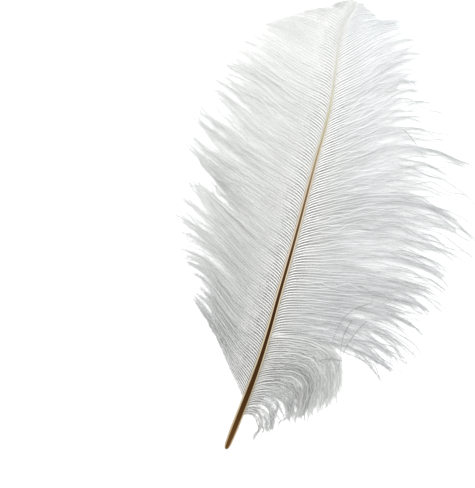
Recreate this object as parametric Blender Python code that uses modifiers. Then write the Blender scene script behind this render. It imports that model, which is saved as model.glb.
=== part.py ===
"""White ostrich plume, 22 cm long, lying face up on a level surface.

Frame: metres, +Z up. +Y runs from the quill's lower end to the plume's tip and +X points
to the plume's wide side. The origin is on the surface, under the middle of the outline.

Lengths in the tables are millimetres. A station is a distance along the shaft from the
quill's lower end. A heading is an angle in degrees, 0 straight out from the shaft's side
and 90 towards the tip.
"""

from typing import NamedTuple

import bmesh
import bpy
import numpy as np

MM = 0.001

# ---- driving dimensions, mm ----------------------------------------------------------
SHAFT_LENGTH = 216.0
OUTLINE_MIDDLE = (12.22, 111.01)  # middle of the outline, from the quill's lower end
FLAT_START = 5.0  # station from which the quill's underside is flat on the surface
LOCK_THICKNESS = 1.6  # along a lock's middle, at its root
LAYER_STEP = 0.4  # free ends of neighbours lie this far above and below each other
TIP_HEIGHT = 0.2  # where a lock's point touches down
ROOT_DEPTH = 0.3  # where the vane starts inside the shaft, as a share of its width
LEAST_HALF_WIDTH = 0.8  # of a lock's free end, before it narrows
MOST_HALF_SHARE = 0.12  # most of a lock's length that the same half width may be

# Line of the shaft seen from above: (forward, sideways).
SHAFT_BOW = (
    (0, 0.0), (30, 2.0), (60, 3.4), (100, 3.0), (140, 1.9),
    (168, 1.2), (186, -1.3), (204.5, -4.3), (215, -1.6),
)
# Rise of the shaft above its seat on the surface: (station, rise). The tip curls over.
SHAFT_RISE = (
    (0, 0.0), (18, 0.0), (40, 1.2), (80, 4.6), (120, 7.2), (160, 8.2),
    (190, 7.6), (202, 6.4), (210, 4.8), (216, 3.0),
)
# Width of the shaft: (station, width).
SHAFT_WIDTH = (
    (0, 1.6), (1.5, 2.9), (5, 3.7), (18, 4.6), (30, 4.5), (60, 4.2), (90, 3.7),
    (120, 3.0), (150, 2.1), (172, 1.5), (195, 1.0), (208, 0.7), (216, 0.4),
)
SHAFT_HEIGHT_SHARE = 0.92  # of its width
RING_STATIONS = (0.0, 1.5, 5.0, 18.0, *np.linspace(28.0, SHAFT_LENGTH, 20))

# Half width of a lock's free end, as a share of its room: (share of its length, share).
FREE_TAPER = ((0.6, 1.0), (0.75, 0.84), (0.88, 0.5), (0.95, 0.28), (1.0, 0.0))
WEB_SHARE = 0.6  # neighbours grow together up to this share of their length
EDGE_THICKNESS = 0.4  # of the web between two locks, as a share of LOCK_THICKNESS
TIP_THICKNESS = 0.15  # of a lock's point, as the same share


class Guide(NamedTuple):
    """How the vane grows at one station: the lock's length, and its heading at four
    places spread evenly from the shaft to the tip."""

    station: float
    length: float
    headings: tuple


class Vane(NamedTuple):
    """A row of locks along one side of the shaft, -1 left and +1 right."""

    name: str
    side: int
    first: float
    last: float
    count: int
    segments: int
    guides: tuple


LEFT_VANE = Vane("left", -1, 26.0, 213.5, 28, 8, (
    Guide(24, 34, (50, 51, 52, 46)),
    Guide(36, 46, (32, 38, 40, 30)),
    Guide(46, 46, (28, 30, 38, 22)),
    Guide(55, 54, (28, 26, 34, 2)),
    Guide(67, 56, (22, 28, 20, 2)),
    Guide(77, 62, (34, 28, 26, 8)),
    Guide(87, 60, (36, 24, 32, 32)),
    Guide(99, 69, (32, 21, 28, 38)),
    Guide(118, 63, (32, 15, 20, 30)),
    Guide(141, 59, (30, 18, 24, 24)),
    Guide(156, 55, (28, 15, 20, 6)),
    Guide(172, 50, (20, 14, 16, 0)),
    Guide(187, 36, (14, 13, 20, -2)),
    Guide(200, 27, (18, 17, 13, -8)),
    Guide(206, 21, (26, 24, 16, -2)),
    Guide(211, 16, (48, 40, 28, 12)),
    Guide(216, 9, (82, 74, 60, 44)),
))
RIGHT_VANE = Vane("right", 1, 61.0, 213.5, 26, 8, (
    Guide(58, 66, (16, 14, -6, -20)),
    Guide(67, 74, (17, 11, 2, -28)),
    Guide(78, 75, (18, 11, -2, -28)),
    Guide(90, 79, (22, 14, 2, -24)),
    Guide(99, 84, (30, 21, 0, -21)),
    Guide(118, 85, (36, 24, 2, -26)),
    Guide(137, 80, (40, 36, 4, -14)),
    Guide(147, 67, (44, 38, 16, -14)),
    Guide(156, 56, (38, 36, 30, -20)),
    Guide(166, 49, (42, 42, 36, -16)),
    Guide(179, 44, (42, 46, 40, 5)),
    Guide(192, 33, (46, 52, 40, 18)),
    Guide(202, 27, (47, 45, 27, 8)),
    Guide(209, 20, (52, 43, 22, 2)),
    Guide(213, 14, (66, 55, 36, 16)),
    Guide(216, 9, (84, 76, 58, 40)),
))
TUFT = Vane("tuft", 1, 27.0, 57.5, 7, 10, (
    Guide(25, 27, (45, -5, -74, -98)),
    Guide(31, 35, (42, 6, -66, -92)),
    Guide(37, 43, (26, 10, -78, -88)),
    Guide(46, 52, (30, 0, -84, -84)),
    Guide(54, 60, (14, 2, -72, -84)),
    Guide(60, 64, (16, 4, -58, -80)),
))

WHITE_BARBS = (0.66, 0.67, 0.66, 1.0)
BARB_ROUGHNESS = 0.75


# ---- curves --------------------------------------------------------------------------
def smooth(x, knots):
    """A smooth curve through (place, value) knots, read at x. Values may be rows."""
    places = np.array([place for place, _ in knots], float)
    values = np.array([value for _, value in knots], float)
    slopes = np.gradient(values, places, axis=0)
    i = int(np.clip(np.searchsorted(places, x) - 1, 0, len(places) - 2))
    span = places[i + 1] - places[i]
    t = float(np.clip((x - places[i]) / span, 0.0, 1.0))
    start = (1 + 2 * t) * (1 - t) ** 2 * values[i] + t * (1 - t) ** 2 * span * slopes[i]
    end = t * t * (3 - 2 * t) * values[i + 1] - t * t * (1 - t) * span * slopes[i + 1]
    return start + end


def shaft_width(station):
    return float(smooth(station, SHAFT_WIDTH))


def shaft_height(station):
    return SHAFT_HEIGHT_SHARE * shaft_width(station)


def shaft_centre(station):
    """The middle of the shaft at a station. Its underside is flat on the surface under the
    quill, then rises in one low arch."""
    forward = station * SHAFT_BOW[-1][0] / SHAFT_LENGTH
    seat = shaft_height(max(station, FLAT_START)) / 2
    up = seat + max(0.0, float(smooth(station, SHAFT_RISE)))
    return np.array([float(smooth(forward, SHAFT_BOW)), forward, up])


def shaft_direction(station):
    step = 0.5
    along = shaft_centre(station + step) - shaft_centre(station - step)
    return along / np.linalg.norm(along)


def barb_line(vane, station):
    """Points along the barb that grows at a station. Its heading turns from guide to guide,
    and its height falls from the shaft's to the surface."""
    length = float(smooth(station, [(g.station, g.length) for g in vane.guides]))
    headings = smooth(station, [(g.station, g.headings) for g in vane.guides])
    shares = np.linspace(0.0, 1.0, vane.segments + 1)
    turning = list(zip(np.linspace(0.0, 1.0, len(headings)), headings))
    middles = np.radians([smooth(t, turning) for t in (shares[1:] + shares[:-1]) / 2])
    step = length / vane.segments
    steps = step * np.column_stack([vane.side * np.cos(middles), np.sin(middles)])
    root = shaft_centre(np.clip(station, 0.0, SHAFT_LENGTH))
    flat = root[:2] + np.vstack([[0.0, 0.0], np.cumsum(steps, axis=0)])
    height = root[2] + (TIP_HEIGHT - root[2]) * shares**2
    return np.column_stack([flat, height])


# ---- solids --------------------------------------------------------------------------
def material(name, colour, roughness):
    made = bpy.data.materials.new(name)
    made.use_nodes = True
    surface = made.node_tree.nodes["Principled BSDF"]
    surface.inputs["Base Color"].default_value = colour
    surface.inputs["Roughness"].default_value = roughness
    surface.inputs["Metallic"].default_value = 0.0
    return made


def loft(name, rings, collection):
    """A closed solid through rings of equal size, with a flat face at each end."""
    shift = np.array([*OUTLINE_MIDDLE, 0.0])
    bm = bmesh.new()
    rows = [[bm.verts.new((p - shift) * MM) for p in ring] for ring in rings]
    for near, far in zip(rows, rows[1:]):
        for i in range(len(near)):
            j = (i + 1) % len(near)
            bm.faces.new((near[i], near[j], far[j], far[i]))
    bm.faces.new(rows[0])
    bm.faces.new(rows[-1])
    bmesh.ops.recalc_face_normals(bm, faces=bm.faces)
    mesh = bpy.data.meshes.new(name)
    bm.to_mesh(mesh)
    bm.free()
    made = bpy.data.objects.new(name, mesh)
    collection.objects.link(made)
    return made


def shaft(collection):
    """Quill and rachis in one: an eight-sided bar with a flat underside, which tapers from
    the blunt lower end's shoulder to a thread at the tip."""
    corners = np.radians(np.arange(22.5, 360.0, 45.0))
    reach = 1 / np.cos(np.radians(22.5))  # puts the bar's flats at its width and height
    rings = []
    for station in RING_STATIONS:
        along = shaft_direction(station)
        across = np.cross(along, (0.0, 0.0, 1.0))
        across /= np.linalg.norm(across)
        above = np.cross(across, along)
        half_width = reach * shaft_width(station) / 2
        half_height = reach * shaft_height(station) / 2
        centre = shaft_centre(station)
        rings.append([
            centre + across * half_width * np.cos(a) + above * half_height * np.sin(a)
            for a in corners
        ])
    return loft("feather", rings, collection)


class LockSheet:
    """The middle surface of a vane: locks side by side, which share their edges near the
    shaft and narrow to points beyond. Each vertex carries a share of the full thickness."""

    def __init__(self, vane):
        self.vane = vane
        self.pitch = (vane.last - vane.first) / (vane.count - 1)
        self.shares = np.linspace(0.0, 1.0, vane.segments + 1)
        self.web_rows = int(round(WEB_SHARE * vane.segments))
        self.bm = bmesh.new()
        self.thickness = []

    def line(self, index):
        """The barb at a whole lock index, or at a half one between two locks."""
        station = self.vane.first + index * self.pitch
        points = barb_line(self.vane, station)
        points[0, 0] += self.vane.side * ROOT_DEPTH * shaft_width(station)
        return points

    def vertex(self, point, share):
        self.thickness.append(share)
        return self.bm.verts.new((point - np.array([*OUTLINE_MIDDLE, 0.0])) * MM)

    def web_edge(self, index):
        points = self.line(index)
        return [self.vertex(points[i], EDGE_THICKNESS) for i in range(self.web_rows + 1)]

    def add_lock(self, index, low, high):
        """One lock between the web edges low and high."""
        middle = self.line(index)
        length = float(np.linalg.norm(np.diff(middle, axis=0), axis=1).sum())
        spread = (self.line(index + 0.5) - self.line(index - 0.5)) / 2
        layer = LAYER_STEP * (1 if index % 2 else 0)
        low, high, ridge = list(low), list(high), []
        for i, share in enumerate(self.shares):
            free = max(0.0, (share - WEB_SHARE) / (1.0 - WEB_SHARE))
            centre = middle[i] + np.array([0.0, 0.0, layer * np.sin(np.pi * free)])
            ridge.append(self.vertex(centre, 1.0 + (TIP_THICKNESS - 1.0) * share))
            if i <= self.web_rows or i == self.vane.segments:
                continue
            ahead = middle[i + 1] - middle[i - 1]
            square = np.array([-ahead[1], ahead[0], 0.0]) / np.hypot(*ahead[:2])
            square *= self.vane.side
            half = min(float(spread[i] @ square), MOST_HALF_SHARE * length)
            half = max(half, LEAST_HALF_WIDTH)
            half *= float(smooth(share, FREE_TAPER))
            edge = EDGE_THICKNESS * (1.0 - free / 2)
            low.append(self.vertex(centre - square * half, edge))
            high.append(self.vertex(centre + square * half, edge))
        for i in range(self.vane.segments - 1):
            self.bm.faces.new((low[i], ridge[i], ridge[i + 1], low[i + 1]))
            self.bm.faces.new((ridge[i], high[i], high[i + 1], ridge[i + 1]))
        self.bm.faces.new((low[-1], ridge[-2], ridge[-1]))
        self.bm.faces.new((ridge[-2], high[-1], ridge[-1]))

    def build(self, collection):
        """The vane as an object that a Solidify modifier thickens to its vertices' shares."""
        edges = [self.web_edge(k - 0.5) for k in range(self.vane.count + 1)]
        for k in range(self.vane.count):
            self.add_lock(k, edges[k], edges[k + 1])
        bmesh.ops.recalc_face_normals(self.bm, faces=self.bm.faces)
        mesh = bpy.data.meshes.new(self.vane.name)
        self.bm.to_mesh(mesh)
        self.bm.free()
        made = bpy.data.objects.new(self.vane.name, mesh)
        collection.objects.link(made)
        group = made.vertex_groups.new(name="thickness")
        for i, share in enumerate(self.thickness):
            group.add([i], share, "REPLACE")
        thicken = made.modifiers.new("thicken", "SOLIDIFY")
        thicken.thickness = LOCK_THICKNESS * MM
        thicken.offset = 0.0
        thicken.vertex_group = group.name
        made.hide_render = True
        made.display_type = "WIRE"
        return made


def clear_scene():
    for old in list(bpy.data.objects):
        bpy.data.objects.remove(old, do_unlink=True)


def new_collection(name):
    made = bpy.data.collections.new(name)
    bpy.context.scene.collection.children.link(made)
    return made


def main():
    clear_scene()
    plume = new_collection("ostrich_feather")
    vanes = new_collection("vanes")
    feather = shaft(plume)
    feather.data.materials.append(material("white_barbs", WHITE_BARBS, BARB_ROUGHNESS))
    for vane in (LEFT_VANE, RIGHT_VANE, TUFT):
        LockSheet(vane).build(vanes)
    fuse = feather.modifiers.new("fuse_vanes", "BOOLEAN")
    fuse.operation = "UNION"
    fuse.solver = "EXACT"
    fuse.operand_type = "COLLECTION"
    fuse.collection = vanes


main()
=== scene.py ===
"""Looks of a white ostrich plume, 22 cm long, that lies face up on a level surface.

Everything grows from one curve, the shaft. A row of barbs stands along each side of it, with a
looser row under each, and a curled tuft of down hangs from its lower right. A barb is a thin
tapered tube that carries rows of finer spikes, its barbules, and barbs gather in strands
towards their tips.

Frame: metres, +Z up, +Y from the quill's lower end to the tip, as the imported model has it.
Tables are in millimetres. A station is a distance along the shaft from the quill's lower end.
A heading is an angle in degrees, 0 straight out from the shaft's side and 90 towards the tip.
A share runs from 0 at a barb's root to 1 at its tip. A rank runs from 0 at a row's first barb
to 1 at its last. On the surface map of a row, U is the share and V the rank.
"""

import logging
from dataclasses import dataclass, field, replace
from enum import Enum

import bpy
import numpy as np
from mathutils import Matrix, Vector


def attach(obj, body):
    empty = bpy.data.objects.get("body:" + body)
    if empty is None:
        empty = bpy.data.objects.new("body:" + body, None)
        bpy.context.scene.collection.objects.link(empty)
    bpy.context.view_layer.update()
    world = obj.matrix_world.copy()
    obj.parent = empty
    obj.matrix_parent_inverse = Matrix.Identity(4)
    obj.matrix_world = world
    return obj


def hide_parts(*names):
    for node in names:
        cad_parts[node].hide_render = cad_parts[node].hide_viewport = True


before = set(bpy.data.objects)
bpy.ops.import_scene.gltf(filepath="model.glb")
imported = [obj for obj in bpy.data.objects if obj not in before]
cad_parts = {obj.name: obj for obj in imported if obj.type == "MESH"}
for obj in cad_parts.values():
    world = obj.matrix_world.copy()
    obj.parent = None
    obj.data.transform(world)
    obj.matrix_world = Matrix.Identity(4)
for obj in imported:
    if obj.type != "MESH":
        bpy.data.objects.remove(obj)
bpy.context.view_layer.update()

LOG = logging.getLogger("plume")
MM = 0.001
OUTLINE_MIDDLE = np.array([12.22, 111.01, 0.0])  # origin of the frame, from the quill's end
UP = np.array([0.0, 0.0, 1.0])
NODE = "feather"
BODY = "root"
MAP_NAME = "OFBake"  # the surface map that the finishes read
CAP_SIZE = 0.01  # U of the map that the cap of a tube takes up
END_U = 0.98  # largest U at which a cap or a barbule's face begins

Tree = bpy.types.NodeTree
Socket = bpy.types.NodeSocket
Material = bpy.types.Material
Colour = tuple[float, float, float]
Place = tuple[float, float, float]
Gradient = tuple[tuple[float, Colour], ...]  # (place, colour) stops in rising order
Span = tuple[float, float]  # least and most, or from and to
Table = tuple[tuple[float, float], ...]  # (place, value) knots in rising order


class Side(Enum):
    """Side of the shaft that a vane grows on."""

    LEFT = -1
    RIGHT = 1


class Slot(Enum):
    """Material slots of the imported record."""

    BARBS = "feather"
    SHAFT = "shaft"


class Down(Enum):
    """Kinds of barbules."""

    LINING = "lining"  # dense, by the shaft; its dark colour is painted shade in the gaps between barbs
    FRINGE = "fringe"  # close along the barb
    UNDERDOWN = "underdown"  # long, loose and farther out


# ---- curves and meshes -----------------------------------------------------------------
def smooth(where: np.ndarray, knots: tuple) -> np.ndarray:
    """Read a smooth curve that passes through knots.

    Between two knots the value is the cubic that meets both values and both slopes. A knot's
    slope is the mean of the slopes on its two sides, weighted by their nearness.

    Args:
        where: places at which the curve is read.
        knots: (place, value) pairs in rising order. A value is a number or a row of numbers.

    Returns:
        One value, or one row, for each place.
    """
    places = np.array([place for place, _ in knots], float)
    values = np.array([value for _, value in knots], float)
    slopes = np.gradient(values, places, axis=0)
    i = np.clip(np.searchsorted(places, where) - 1, 0, len(places) - 2)
    span = places[i + 1] - places[i]
    t = np.clip((where - places[i]) / span, 0.0, 1.0)
    if values.ndim == 2:
        span, t = span[..., None], t[..., None]
    start = (1 + 2 * t) * (1 - t) ** 2 * values[i] + t * (1 - t) ** 2 * span * slopes[i]
    end = t * t * (3 - 2 * t) * values[i + 1] - t * t * (1 - t) * span * slopes[i + 1]
    return start + end


def straight(where: np.ndarray, knots: Table) -> np.ndarray:
    """Read the straight lines that join knots."""
    return np.interp(where, *zip(*knots))


def ramp(x: np.ndarray, low: float, high: float) -> np.ndarray:
    """Rise smoothly from 0 at low to 1 at high, with level ends."""
    t = np.clip((x - low) / (high - low), 0.0, 1.0)
    return t * t * (3 - 2 * t)


def unit(rows: np.ndarray) -> np.ndarray:
    """Scale each row to length one, and leave a row of zeros as it is."""
    tiny = 1e-12
    return rows / np.maximum(np.linalg.norm(rows, axis=-1, keepdims=True), tiny)


def level_axes(along: np.ndarray) -> tuple[np.ndarray, np.ndarray]:
    """Find the level direction to the left of each tangent, and the one square to both."""
    left = unit(np.cross(UP, along))
    return left, np.cross(along, left)


def run_lengths(points: np.ndarray) -> np.ndarray:
    """Add up the steps of each line of points."""
    return np.linalg.norm(np.diff(points, axis=1), axis=2).sum(axis=1)


def read_grid(grid: np.ndarray, row: np.ndarray, column: np.ndarray) -> np.ndarray:
    """Read a grid of points between its rows and columns.

    The value is the mean of the four nearest points, weighted by their nearness.

    Args:
        grid: (rows, columns, 3) points.
        row: where to read, in rows and parts of a row.
        column: the same, in columns.

    Returns:
        One point for each place.
    """
    i = np.minimum(row.astype(int), grid.shape[0] - 2)
    j = np.minimum(column.astype(int), grid.shape[1] - 2)
    p, q = (row - i)[..., None], (column - j)[..., None]
    return (grid[i, j] * (1 - p) * (1 - q) + grid[i + 1, j] * p * (1 - q)
            + grid[i, j + 1] * (1 - p) * q + grid[i + 1, j + 1] * p * q)


def walls(u: np.ndarray, v: np.ndarray, height: float) -> tuple[np.ndarray, np.ndarray]:
    """Join the rings of tubes by triangles, and lay them on the surface map.

    A tube's points stand ring by ring. A corner, the next one round and the same two on the
    next ring make two triangles. On the map they reach from ring to ring along U, and across
    V by the height, from the corner's place.

    Args:
        u: (tubes, rings) place of each ring along the map.
        v: (tubes, corners) place of each corner across the map.
        height: how far each wall reaches across the map.

    Returns:
        (faces, 3) indices and (faces, 3, 2) places on the map.
    """
    tubes, rings = u.shape
    corners = v.shape[1]
    start = (np.arange(tubes)[:, None, None] * rings + np.arange(rings - 1)[:, None]) * corners
    here = np.arange(corners)
    after = (here + 1) % corners
    faces = np.stack([
        np.stack([start + here, start + after, start + after + corners], -1),
        np.stack([start + here, start + after + corners, start + here + corners], -1),
    ], -2)
    v0 = v[:, None] + 0 * start
    v1 = v0 + height
    u0, u1 = u[:, :-1, None] + 0 * v0, u[:, 1:, None] + 0 * v0
    halves = ((u0, v0), (u0, v1), (u1, v1)), ((u0, v0), (u1, v1), (u1, v0))
    places = np.stack([np.stack([np.stack(at, -1) for at in half], -2) for half in halves], -3)
    return faces.reshape(-1, 3), places.reshape(-1, 3, 2)


def add_piece(name: str, points: np.ndarray, faces: np.ndarray, uv: np.ndarray,
              material: Material, soft: bool) -> bpy.types.Object:
    """Put arrays into a mesh object that rides on the body and stands for the CAD solid.

    Args:
        name: name of the piece.
        points: (n, 3) places in millimetres from the quill's end.
        faces: (f, k) indices, all faces with the same number of corners.
        uv: (f, k, 2) places on the surface map.
        material: finish of the piece.
        soft: whether the faces are shaded as one round surface.

    Returns:
        The new object, at the origin, unturned and unscaled.
    """
    mesh = bpy.data.meshes.new(name)
    places = ((points - OUTLINE_MIDDLE) * MM).astype(np.float32)
    mesh.vertices.add(len(points))
    mesh.vertices.foreach_set("co", places.ravel())
    mesh.loops.add(faces.size)
    mesh.loops.foreach_set("vertex_index", faces.astype(np.int32).ravel())
    mesh.polygons.add(len(faces))
    mesh.polygons.foreach_set("loop_start", np.arange(0, faces.size, faces.shape[1], dtype=np.int32))
    mesh.polygons.foreach_set("use_smooth", np.full(len(faces), soft))
    mesh.update(calc_edges=True)
    layer = mesh.uv_layers.new(name=MAP_NAME)
    layer.uv.foreach_set("vector", uv.astype(np.float32).ravel())
    mesh.materials.append(material)
    piece = bpy.data.objects.new(name, mesh)
    bpy.context.scene.collection.objects.link(piece)
    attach(piece, BODY)
    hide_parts(NODE)
    LOG.info("%s: %d faces", name, len(faces))
    return piece


# ---- shader nodes ----------------------------------------------------------------------
def feed(tree: Tree, source: float | Socket, socket: Socket) -> None:
    """Give a socket a number, or link it to another node's output.

    Args:
        tree: the node tree.
        source: the number or the output.
        socket: the input that gets it.
    """
    if isinstance(source, Socket):
        tree.links.new(source, socket)
    else:
        socket.default_value = source


def map_axes(tree: Tree) -> tuple[Socket, Socket]:
    """Read the piece's surface map.

    Args:
        tree: the node tree.

    Returns:
        U and V.
    """
    place = tree.nodes.new("ShaderNodeUVMap")
    place.uv_map = MAP_NAME
    parts = tree.nodes.new("ShaderNodeSeparateXYZ")
    tree.links.new(place.outputs["UV"], parts.inputs[0])
    return parts.outputs["X"], parts.outputs["Y"]


def maths(tree: Tree, operation: str, a: float | Socket, b: float | Socket = 0.0) -> Socket:
    """Work out one operation on two numbers.

    Args:
        tree: the node tree.
        operation: the Math node's name for it.
        a: the first number.
        b: the second number.

    Returns:
        The result.
    """
    node = tree.nodes.new("ShaderNodeMath")
    node.operation = operation
    feed(tree, a, node.inputs[0])
    feed(tree, b, node.inputs[1])
    return node.outputs[0]


def span_node(tree: Tree, value: Socket, low: float | Socket, high: float | Socket) -> Socket:
    """Rise smoothly from 0 to 1 while a value goes from low to high.

    Args:
        tree: the node tree.
        value: the value.
        low: where the rise begins.
        high: where it ends.

    Returns:
        The result.
    """
    node = tree.nodes.new("ShaderNodeMapRange")
    node.interpolation_type = "SMOOTHSTEP"
    tree.links.new(value, node.inputs["Value"])
    feed(tree, low, node.inputs["From Min"])
    feed(tree, high, node.inputs["From Max"])
    return node.outputs["Result"]


def ramp_node(tree: Tree, place: Socket, stops: Gradient) -> Socket:
    """Read a colour off a ramp.

    Args:
        tree: the node tree.
        place: where the ramp is read, from 0 to 1.
        stops: the ramp.

    Returns:
        The colour.
    """
    node = tree.nodes.new("ShaderNodeValToRGB")
    elements = node.color_ramp.elements
    elements[0].position, elements[1].position = stops[0][0], stops[-1][0]
    elements[0].color, elements[1].color = (*stops[0][1], 1.0), (*stops[-1][1], 1.0)
    for at, colour in stops[1:-1]:
        elements.new(at).color = (*colour, 1.0)
    tree.links.new(place, node.inputs["Fac"])
    return node.outputs["Color"]


def level_node(tree: Tree, place: Socket, table: Table) -> Socket:
    """Read a number off a grey ramp whose stops are a table from 0 to 1."""
    return ramp_node(tree, place, tuple((at, (value,) * 3) for at, value in table))


def mix(tree: Tree, blend: str, factor: float | Socket, a: Socket, b: Socket) -> Socket:
    """Blend two colours.

    Args:
        tree: the node tree.
        blend: the Mix node's name for the way of blending.
        factor: how far the blend goes from the first colour.
        a: the first colour.
        b: the second colour.

    Returns:
        The blend.
    """
    node = tree.nodes.new("ShaderNodeMix")
    node.data_type = "RGBA"
    node.blend_type = blend
    feed(tree, factor, node.inputs["Factor"])
    tree.links.new(a, node.inputs["A"])
    tree.links.new(b, node.inputs["B"])
    return node.outputs["Result"]


def place_group(tree: Tree, group: Tree, **values: float | tuple) -> bpy.types.Node:
    """Place a shared group in a tree.

    Args:
        tree: the node tree.
        group: the group.
        values: numbers and colours for its inputs, by their names.

    Returns:
        The group's node.
    """
    node = tree.nodes.new("ShaderNodeGroup")
    node.node_tree = group
    for name, value in values.items():
        node.inputs[name].default_value = value
    return node


def open_group(name: str, colours: tuple[str, ...], numbers: tuple[str, ...],
               result: str, kind: str) -> tuple[Tree, bpy.types.Node, Socket]:
    """Start a shared group.

    Args:
        name: its name.
        colours: names of the inputs that are colours.
        numbers: names of the inputs that are numbers.
        result: name of its output.
        kind: Float or Color, the kind of its output.

    Returns:
        The group's tree, the node with its inputs, and the socket that takes its result.
    """
    made = bpy.data.node_groups.new(name, "ShaderNodeTree")
    for sockets, sort in ((colours, "Color"), (numbers, "Float")):
        for socket in sockets:
            made.interface.new_socket(socket, in_out="INPUT", socket_type="NodeSocket" + sort)
    made.interface.new_socket(result, in_out="OUTPUT", socket_type="NodeSocket" + kind)
    inlet, outlet = made.nodes.new("NodeGroupInput"), made.nodes.new("NodeGroupOutput")
    return made, inlet, outlet.inputs[result]


def streak_group() -> Tree:
    """Get the shared group that makes streaks along U, and make it on its first use.

    Its noise is read off the surface map, stretched by the inputs Along and Across.

    Returns:
        The group.
    """
    name = "streaks"
    if name in bpy.data.node_groups:
        return bpy.data.node_groups[name]
    made, inlet, result = open_group(name, (), ("Along", "Across", "Detail"), "Value", "Float")
    u, v = map_axes(made)
    place = made.nodes.new("ShaderNodeCombineXYZ")
    made.links.new(maths(made, "MULTIPLY", u, inlet.outputs["Along"]), place.inputs["X"])
    made.links.new(maths(made, "MULTIPLY", v, inlet.outputs["Across"]), place.inputs["Y"])
    noise = made.nodes.new("ShaderNodeTexNoise")
    noise.inputs["Scale"].default_value = 1.0
    made.links.new(place.outputs["Vector"], noise.inputs["Vector"])
    made.links.new(inlet.outputs["Detail"], noise.inputs["Detail"])
    made.links.new(noise.outputs["Fac"], result)
    return made


@dataclass(frozen=True)
class Streaks:
    """Streaks along a piece: how often they change along and across its map."""

    along: float
    across: float
    detail: float

    def add(self, tree: Tree) -> Socket:
        """Add the streaks to a tree, and return their strength."""
        node = place_group(tree, streak_group(), Along=self.along, Across=self.across, Detail=self.detail)
        return node.outputs["Value"]


# ---- the shaft -------------------------------------------------------------------------
@dataclass(frozen=True)
class ShaftLine:
    """Where the shaft runs and how thick it looks, to where it can hardly be seen any more.

    bow gives the way to the right by the way forward. rise and widths go by station.
    """

    length: float = 221.0
    flat_start: float = 5.0  # mm from the quill's end over which the middle stays level
    height_share: float = 0.92  # height of the cross-section, as a share of its width
    bow: Table = (
        (0, 0.0), (15, 1.4), (30, 2.65), (46, 3.5), (60, 3.6), (74, 3.3), (100, 3.0), (140, 1.9),
        (168, 1.2), (186, -1.3), (200, -3.4), (209, -2.7), (215, -0.9), (219.9, 0.55),
    )
    rise: Table = (
        (0, 0.0), (18, 0.0), (40, 1.2), (80, 4.6), (120, 7.2), (160, 8.2),
        (190, 7.6), (202, 6.4), (210, 4.8), (216, 3.0), (221, 1.4),
    )
    widths: Table = (
        (0, 1.4), (1.5, 2.5), (5, 3.1), (18, 3.6), (30, 3.5), (60, 3.1), (90, 2.8),
        (120, 2.35), (150, 1.8), (172, 1.3), (186, 0.9), (195, 0.75), (208, 0.6), (221, 0.3),
    )

    def width(self, stations: np.ndarray) -> np.ndarray:
        """Read the shaft's width."""
        return smooth(stations, self.widths)

    def centre(self, stations: np.ndarray) -> np.ndarray:
        """Find the middle of the shaft: bow sideways, station forward, rise over its seat.

        Args:
            stations: distances along the shaft.

        Returns:
            A point for each.
        """
        forward = stations * self.bow[-1][0] / self.length
        seat = self.height_share * self.width(np.maximum(stations, self.flat_start)) / 2
        up = seat + np.maximum(0.0, smooth(stations, self.rise))
        return np.stack([smooth(forward, self.bow), forward, up], axis=-1)

    def side(self, stations: np.ndarray, share: float) -> np.ndarray:
        """Find points that lie a share of the half width to the right of the middle."""
        left, _ = level_axes(self.along(stations))
        return self.centre(stations) - left * (share * self.width(stations) / 2)[:, None]

    def along(self, stations: np.ndarray) -> np.ndarray:
        """Find the direction of the shaft from two places half a millimetre to each side."""
        step = 0.5
        return unit(self.centre(stations + step) - self.centre(stations - step))


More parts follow.
